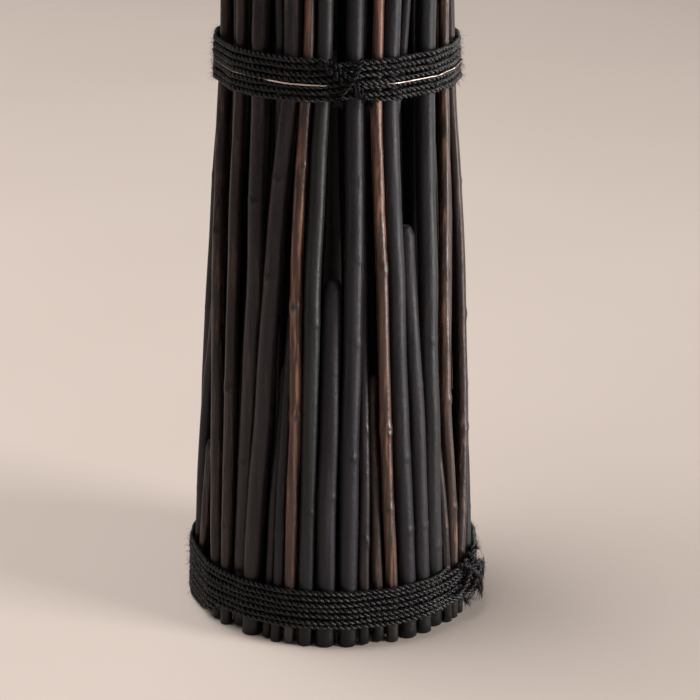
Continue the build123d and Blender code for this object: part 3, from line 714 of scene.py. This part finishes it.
def frames_along(path):
    """Tangents and two steady normals along a path."""
    tangent = np.gradient(path, axis=0)
    tangent /= np.linalg.norm(tangent, axis=1)[:, None]
    normal = np.empty_like(path)
    start = np.cross(tangent[0], [0, 0, 1])
    if np.linalg.norm(start) < 0.2:
        start = np.cross(tangent[0], [1, 0, 0])
    normal[0] = start / np.linalg.norm(start)
    for i in range(1, len(path)):
        n = normal[i - 1] - tangent[i] * normal[i - 1].dot(tangent[i])
        normal[i] = n / np.linalg.norm(n)
    return tangent, normal, np.cross(tangent, normal)


class Strands:
    """Collects tubes, such as plies and loose fibres, into one mesh."""

    def __init__(self):
        self.vertices, self.faces, self.count = [], [], 0

    def tube(self, path, radius, sides):
        """A closed tube along path; radius is one number or one for each point."""
        _, normal, side = frames_along(path)
        radius = np.broadcast_to(radius, len(path))[:, None, None]
        turn = np.linspace(0, 2 * math.pi, sides, endpoint=False)
        ring = normal[:, None] * np.cos(turn)[:, None] + side[:, None] * np.sin(turn)[:, None]
        self.vertices.append((path[:, None] + radius * ring).reshape(-1, 3))
        self.faces += tube_faces(len(path), sides, self.count).tolist()
        last = self.count + (len(path) - 1) * sides
        self.faces.append(list(range(self.count + sides - 1, self.count - 1, -1)))
        self.faces.append(list(range(last, last + sides)))
        self.count += len(path) * sides

    def cord(self, path, seed, thin_ends=0.0):
        """Twisted plies along path, thinner over the last thin_ends of each end."""
        path, along = resampled(path, CORD_STEP)
        _, normal, side = frames_along(path)
        thick = CORD_DIAMETER / 2 * (1 + 0.09 * smooth_noise(seed, along, 9 * MM))
        if thin_ends:
            thick = thick * np.clip(np.minimum(along, along[-1] - along) / thin_ends + 0.45, 0, 1)
        twist = 2 * math.pi * along / PLY_TWIST + 0.5 * smooth_noise(seed + 1, along, 15 * MM)
        for ply in range(PLIES):
            phase = twist + ply * 2 * math.pi / PLIES
            offset = normal * np.cos(phase)[:, None] + side * np.sin(phase)[:, None]
            size = 0.49 + 0.05 * smooth_noise(seed + 3 + ply, along, 5 * MM)
            self.tube(path + offset * (thick * 0.51)[:, None], thick * size, PLY_SIDES)

    def fuzz(self, path, count, seed, spread=1.0):
        """Loose fibres that stand off a cord, mostly outwards from the torch."""
        chosen = np.random.default_rng(seed)
        tangent, _, _ = frames_along(path)
        for i in chosen.integers(2, len(path) - 2, count):
            out = np.array([path[i, 0], path[i, 1], 0])
            out /= np.linalg.norm(out)
            direction = out * 0.7 + np.array([0, 0, 1]) * chosen.normal(0, 0.6) * spread
            direction /= np.linalg.norm(direction)
            start = path[i] + direction * CORD_DIAMETER * 0.40
            lean = tangent[i] * chosen.normal(0, 1.2) + direction * 0.7 + chosen.normal(0, 0.3, 3)
            lean /= np.linalg.norm(lean)
            reach = chosen.uniform(*FIBRE_LENGTH) * MM
            bend = chosen.normal(0, 0.35, 3) - np.array([0, 0, 0.25])
            steps = np.linspace(0, 1, 5)[:, None]
            fibre = start + lean * reach * steps + bend * reach * steps ** 2
            self.fibre(fibre, FIBRE_RADIUS * (1 - 0.6 * steps[:, 0]))

    def fibre(self, path, radius):
        """A loose fibre, kept off the floor and near the torch."""
        reach = np.hypot(path[:, 0], path[:, 1])
        path[:, :2] *= np.minimum(1, (FIBRE_REACH + 0.2 * (reach - FIBRE_REACH)) / reach)[:, None]
        path[:, 2] = np.maximum(path[:, 2], 0.5 * MM)
        self.tube(path, radius, 3)

    def brush(self, start, direction, count, seed, longest):
        """The frayed end of a cord: fibres that fan out from it."""
        chosen = np.random.default_rng(seed)
        direction = np.asarray(direction, float) / np.linalg.norm(direction)
        for _ in range(count):
            lean = direction + chosen.normal(0, 0.5, 3)
            lean /= np.linalg.norm(lean)
            reach = chosen.uniform(longest * 0.4, longest) * MM
            steps = np.linspace(0, 1, 6)[:, None]
            droop = np.array([0, 0, -0.3]) + chosen.normal(0, 0.25, 3)
            fibre = start + chosen.normal(0, 0.6 * MM, 3) + (lean * steps + droop * steps ** 2) * reach
            self.fibre(fibre, FIBRE_RADIUS * 1.8 * (1 - 0.5 * steps[:, 0]))

    def piece(self, name, material):
        return mesh_object(name, np.concatenate(self.vertices), self.faces, material)


def binding_path(outlines, low, turns, start, seed):
    """One continuous cord whose turns lie level and climb to the next under the knot. It dips in at both
    ends."""
    angle = np.arange(0, 360 * turns - 2 * KNOT_WIDTH, TURN_STEP)
    whole, part = np.divmod(angle / 360, 1)
    climb = np.clip((part - 1) / CLIMB + 1, 0, 1)
    rise = low + CORD_PITCH * np.minimum(turns - 1, whole + climb * climb * (3 - 2 * climb))
    z = rise + TURN_WAVE * smooth_noise(seed, angle, 22)
    lift = TURN_LIFT * smooth_noise(seed + 1, angle, 12)
    tuck = np.clip(np.minimum(angle, angle[-1] - angle) / 8, 0, 1)
    return outlines.points(start + KNOT_WIDTH + angle, z, lift - (1 - tuck) * CORD_TUCK)


def part_turn_path(outlines, z, leave, reach, seed):
    """A turn round the back only, whose two ends dive in between the rods."""
    angle = np.arange(leave, 360 + reach, TURN_STEP)
    tuck = np.clip(np.minimum(angle - angle[0], angle[-1] - angle) / 7, 0, 1)
    height = z + 0.3 * MM * smooth_noise(seed, angle, 40) + (1 - tuck) * 1.5 * MM
    return outlines.points(angle, height, -(1 - tuck) ** 1.5 * PART_TURN_TUCK)


def knot_cord(strands, outlines, marks, seed):
    """A cord that lies over a binding. marks are (angle, height, lift) points, the last two in mm; lift is
    off the turns' centre line."""
    points = [outlines.points(np.array([a]), np.array([z * MM]), lift * MM)[0] for a, z, lift in marks]
    path = curve_through(points, CORD_STEP)
    strands.cord(path, seed, thin_ends=4 * MM)
    strands.fuzz(path, int(len(path) * 0.9), seed + 1, 1.4)


# Cords tied over each binding: lists of (angle, height mm, lift mm off the turns' centre line).
KNOT_CORDS = {
    "base_rope": [
        [(54, 20, 1), (58, 24, 4.2), (62, 30, 4.8), (67, 38, 4.4), (71, 43, 2.6), (75, 43, 0)],
        [(58, 42, 0.5), (62, 38, 4.4), (67, 30, 6.4), (71, 22, 5.2), (75, 15, 4.2), (78, 9, 4.0)],
        [(62, 41, 0.5), (65, 36, 4.4), (69, 28, 6.8), (73, 21, 5.6), (77, 18, 4.2)],
        [(64, 17, 1.0), (66, 20, 4.6), (70, 26, 6.4), (75, 30, 6.4), (80, 28, 5.8), (84, 23, 5.2)],
        [(60, 26, 0.5), (63, 31, 4.6), (68, 35, 6.0), (74, 34, 6.2), (79, 27, 5.6), (83, 20, 4.6)],
        [(66, 45, 0.5), (69, 40, 3.8), (72, 32, 6.2), (74, 24, 6.4), (76, 16, 5.4), (80, 12, 4.6)],
    ],
    "waist_rope": [
        [(-8, 396, 0.5), (-5, 394, 4.0), (0, 389, 4.8), (5, 383, 4.8), (10, 376, 4.2), (13, 370, 1.0)],
        [(-3, 398, 0.5), (-1, 395, 4.0), (3, 390, 5.6), (8, 383, 5.6), (12, 375, 4.2), (15, 370, 1.0)],
        [(0, 371, 0.5), (2, 375, 4.0), (5, 381, 5.8), (8, 388, 6.2), (10, 394, 4.0), (12, 398, 0.5)],
    ],
    "neck_rope": [
        [(-46, 783, 0.5), (-43, 779, 4.2), (-38, 770, 5.0), (-33, 762, 4.2), (-30, 757, 0.5)],
        [(-45, 757, 0.5), (-42, 762, 4.2), (-38, 770, 6.4), (-34, 778, 4.2), (-31, 783, 0.5)],
    ],
    "head_rope": [
        [(17, 1148, 0.5), (20, 1144, 4.2), (24, 1135, 5.0), (28, 1127, 4.2), (31, 1122, 0.5)],
        [(18, 1122, 0.5), (21, 1127, 4.2), (24, 1135, 6.4), (28, 1143, 4.2), (31, 1148, 0.5)],
    ],
}
# Frayed ends: (angle, height mm, lift mm, direction outwards, along +angle and up, fibres, longest fibre mm)
FRAYS = {
    "base_rope": [(84, 23, 5.2, (0.4, 0.9, -0.2), 130, 11), (78, 9, 4.0, (0.4, 0.6, -0.3), 80, 8),
                  (83, 20, 4.6, (0.5, 0.7, -0.6), 90, 9), (80, 12, 4.6, (0.4, 0.7, -0.5), 70, 8),
                  (75, 42, 2.6, (0.5, 0.5, 0.8), 50, 8), (63, 12, 2.0, (0.7, 0.2, -0.4), 40, 6),
                  (68, 28, 6.0, (0.6, 0.2, 0.0), 60, 6)],
    "waist_rope": [(14, 371, 3.0, (0.5, 0.7, -0.7), 90, 8), (2, 373, 3.0, (0.6, -0.2, -0.5), 50, 6),
                   (7, 385, 5.0, (0.6, 0.3, 0.0), 80, 6), (-2, 393, 3.6, (0.6, -0.4, 0.4), 50, 5)],
    "neck_rope": [(-31, 758, 3.2, (0.6, 0.8, -0.5), 60, 8)],
    "head_rope": [(30, 1123, 3.2, (0.6, 0.8, -0.5), 60, 8)],
}


def build_binding(name, seed):
    """A binding's turns as one object and its knot with the frayed ends as another."""
    low, turns, start = BINDINGS[name]
    offset = CORD_GAP + CORD_DIAMETER / 2
    extra = len(BASE_PART_TURNS) if name == "base_rope" else 0
    outlines = Outlines(low - extra * CORD_PITCH, low + turns * CORD_PITCH, offset)
    strands = Strands()
    path = binding_path(outlines, low, turns, start, seed)
    strands.cord(path, seed)
    strands.fuzz(path, FIBRES_PER_TURN * turns, seed + 9)
    for i, (leave, reach) in enumerate(BASE_PART_TURNS[:extra]):
        z = low - (i + 1) * CORD_PITCH
        part = part_turn_path(outlines, z, leave, reach, seed + 20 + i)
        strands.cord(part, seed + 30 + i)
        strands.fuzz(part, FIBRES_PER_TURN // 3, seed + 40 + i)
    binding_piece = strands.piece(f"twisted_{name}", CORD)

    tied = Strands()
    for i, marks in enumerate(KNOT_CORDS[name]):
        knot_cord(tied, outlines, marks, seed + 50 + 4 * i)
    for i, (angle, height, lift, (out, along, up), count, longest) in enumerate(FRAYS[name]):
        at = outlines.points(np.array([angle]), np.array([height * MM]), lift * MM)[0]
        outside, tangent = outward(angle), outward(angle + 90)
        direction = np.array([*(out * outside + along * tangent), up])
        tied.brush(at, direction, count, seed + 80 + i, longest)
    knot_name = name.replace("rope", "knot")
    knot_piece = tied.piece(f"twisted_{knot_name}", TIED_CORD)

    for piece, node in ((binding_piece, name), (knot_piece, knot_name)):
        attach(piece, "root")
        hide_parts(node)


def build_wire():
    """Tie wire in a groove of the waist binding, one turn above its CAD piece. It sinks between the turns
    where it isn't seen."""
    low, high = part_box("waist_wire")
    z = (low.z + high.z) / 2 + CORD_PITCH
    offset = CORD_GAP + CORD_DIAMETER / 2
    outlines = Outlines(z - 8 * MM, z + 8 * MM, offset)
    angle = np.arange(-120, 240, 1.0)
    shown = sum(np.clip(np.minimum(angle - first, last - angle) / 4, 0, 1) for first, last in WIRE_SHOWS)
    height = z + 0.3 * MM * smooth_noise(5, angle, 18)
    path = outlines.points(angle, height, WIRE_SUNK + shown * WIRE_PROUD)
    strands = Strands()
    strands.tube(np.concatenate([path, path[:1]]), WIRE_RADIUS, 8)
    piece = strands.piece("tie_wire", TIE_WIRE)
    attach(piece, "root")
    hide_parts("waist_wire")


# ---------------------------------------------------------------- CAD pieces that show as they are
def finish_cad_parts():
    """Materials for the CAD pieces that stay: discs, post, burner and snuffer."""
    steel = coated_material()
    tin = metal_material("tin_steel", (0.62, 0.61, 0.58), 0.26, (1, 1, 0.05), 0.18, (0.42, 0.40, 0.37))
    screws = metal_material("screw_steel", (0.60, 0.60, 0.58), 0.30, (1, 1, 1))
    brass = metal_material("brass", (0.72, 0.50, 0.22), 0.24, (1, 1, 0.05), 0.2, (0.36, 0.21, 0.09))
    plywood = plywood_material()
    finishes = {
        "base_disc": plywood, "waist_disc": plywood, "neck_disc": plywood, "ballast_plate": iron_material(),
        "post_flange": steel, "core_post": steel, "post_collars": steel, "burner_cup": steel,
        "snuffer_bell": steel, "flange_screws": screws, "cup_screw": screws, "fuel_canister": tin,
        "cap_gasket": rubber_material(), "burner_cap": brass, "wick_tube": brass,
        "wick": wick_material(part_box("wick")[1].z), "snuffer_knob": knob_material(),
    }
    for name, material in finishes.items():
        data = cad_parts[name].data
        if not data.materials:
            data.materials.append(material)
        for i in range(len(data.materials)):
            data.materials[i] = material


# ---------------------------------------------------------------- floor, light and camera
PICTURE_PIXELS = 700
FOCAL_PIXELS = 2545            # focal length in widths of one pixel
SENSOR_WIDTH = 36
CAMERA_DISTANCE = 1.640        # in front of the torch's axis
CAMERA_HEIGHT = 0.7536
CAMERA_PITCH = 19.36           # degrees below level
CAMERA_SIDE = 0.0102           # the torch stands this far left of the middle of the picture
CAMERA_ROLL = 0.48             # degrees
LIGHT_COLOUR = (1.0, 0.965, 0.945)
WORLD_COLOUR = (1.0, 0.96, 0.95)
WORLD_STRENGTH = 0.13
FLOOR_REACH = 14               # each way from the torch


def build_floor():
    """A flat square that stands for an endless floor."""
    corners = [(x * FLOOR_REACH, y * FLOOR_REACH, 0) for x, y in ((-1, -1), (1, -1), (1, 1), (-1, 1))]
    floor = mesh_object("floor", corners, [(0, 1, 2, 3)], floor_material())
    return floor


def floor_material():
    """Pale, matt and warm, with faint wide clouds."""
    surface = Surface("floor")
    marks = surface.noise(surface.place(1, 1, 1), 1.4, 2)
    colour = surface.ramp(marks, (0.3, (0.65, 0.565, 0.505)), (0.7, (0.69, 0.605, 0.545)))
    surface.set("Base Color", colour)
    surface.set("Roughness", 0.8)
    surface.set("Specular IOR Level", 0.2)
    return surface.material


def area_light(name, place, target, size, power, lit=None):
    """A soft light; size is its width and height, and lit the collection that says what it lights."""
    data = bpy.data.lights.new(name, "AREA")
    data.shape = "RECTANGLE"
    data.size, data.size_y = size
    data.energy = power
    data.color = LIGHT_COLOUR
    light = bpy.data.objects.new(name, data)
    light.location = place
    light.rotation_euler = (Vector(target) - Vector(place)).to_track_quat("-Z", "Y").to_euler()
    light.light_linking.receiver_collection = lit
    bpy.context.scene.collection.objects.link(light)


def build_light(floor):
    """Soft light from the right, low panels that give the rods their highlights but spare the floor, and light
    from above, most of it for the floor alone."""
    torch_alone = bpy.data.collections.new("all_but_the_floor")
    floor_alone = bpy.data.collections.new("floor_alone")
    for collection in (torch_alone, floor_alone):
        collection.objects.link(floor)
    torch_alone.collection_objects[0].light_linking.link_state = "EXCLUDE"
    area_light("key", (3.4, -1.36, 2.2), (0, 0, 0.3), (1.3, 1.3), 104)
    area_light("strip", (3.3, -1.32, 0.36), (0, 0, 0.2), (0.60, 0.8), 66, torch_alone)
    area_light("low", (0.72, -0.27, 0.10), (0, 0, 0.08), (0.20, 0.2), 2.5, torch_alone)
    area_light("rim", (2.7, 1.9, 0.50), (0, 0, 0.30), (0.60, 1.2), 34, torch_alone)
    area_light("top", (-1.5, 0.3, 3.4), (-0.7, 0.0, 0), (3.0, 3.0), 40)
    area_light("floor_fill", (-1.5, 0.3, 3.4), (-0.7, 0.0, 0), (3.0, 3.0), 98, floor_alone)
    world = bpy.data.worlds.new("studio")
    world.use_nodes = True
    background = world.node_tree.nodes["Background"]
    background.inputs["Color"].default_value = (*WORLD_COLOUR, 1)
    background.inputs["Strength"].default_value = WORLD_STRENGTH
    bpy.context.scene.world = world
    bpy.context.scene.view_settings.view_transform = "Standard"


def build_camera():
    """In front and above, aimed down by its pitch and turned a little about its own line of sight."""
    data = bpy.data.cameras.new("camera")
    data.sensor_width = SENSOR_WIDTH
    data.lens = FOCAL_PIXELS * SENSOR_WIDTH / PICTURE_PIXELS
    camera = bpy.data.objects.new("camera", data)
    camera.location = (CAMERA_SIDE, -CAMERA_DISTANCE, CAMERA_HEIGHT)
    level = Euler((math.radians(90 - CAMERA_PITCH), 0, 0)).to_matrix()
    camera.rotation_euler = (level @ Matrix.Rotation(math.radians(CAMERA_ROLL), 3, "Z")).to_euler()
    bpy.context.scene.collection.objects.link(camera)
    bpy.context.scene.camera = camera


build_rods()
build_short_rods()
build_inner_rods()
for number, binding_name in enumerate(BINDINGS):
    build_binding(binding_name, BINDING_SEED + 1000 * number)
build_wire()
finish_cad_parts()
build_light(build_floor())
build_camera()
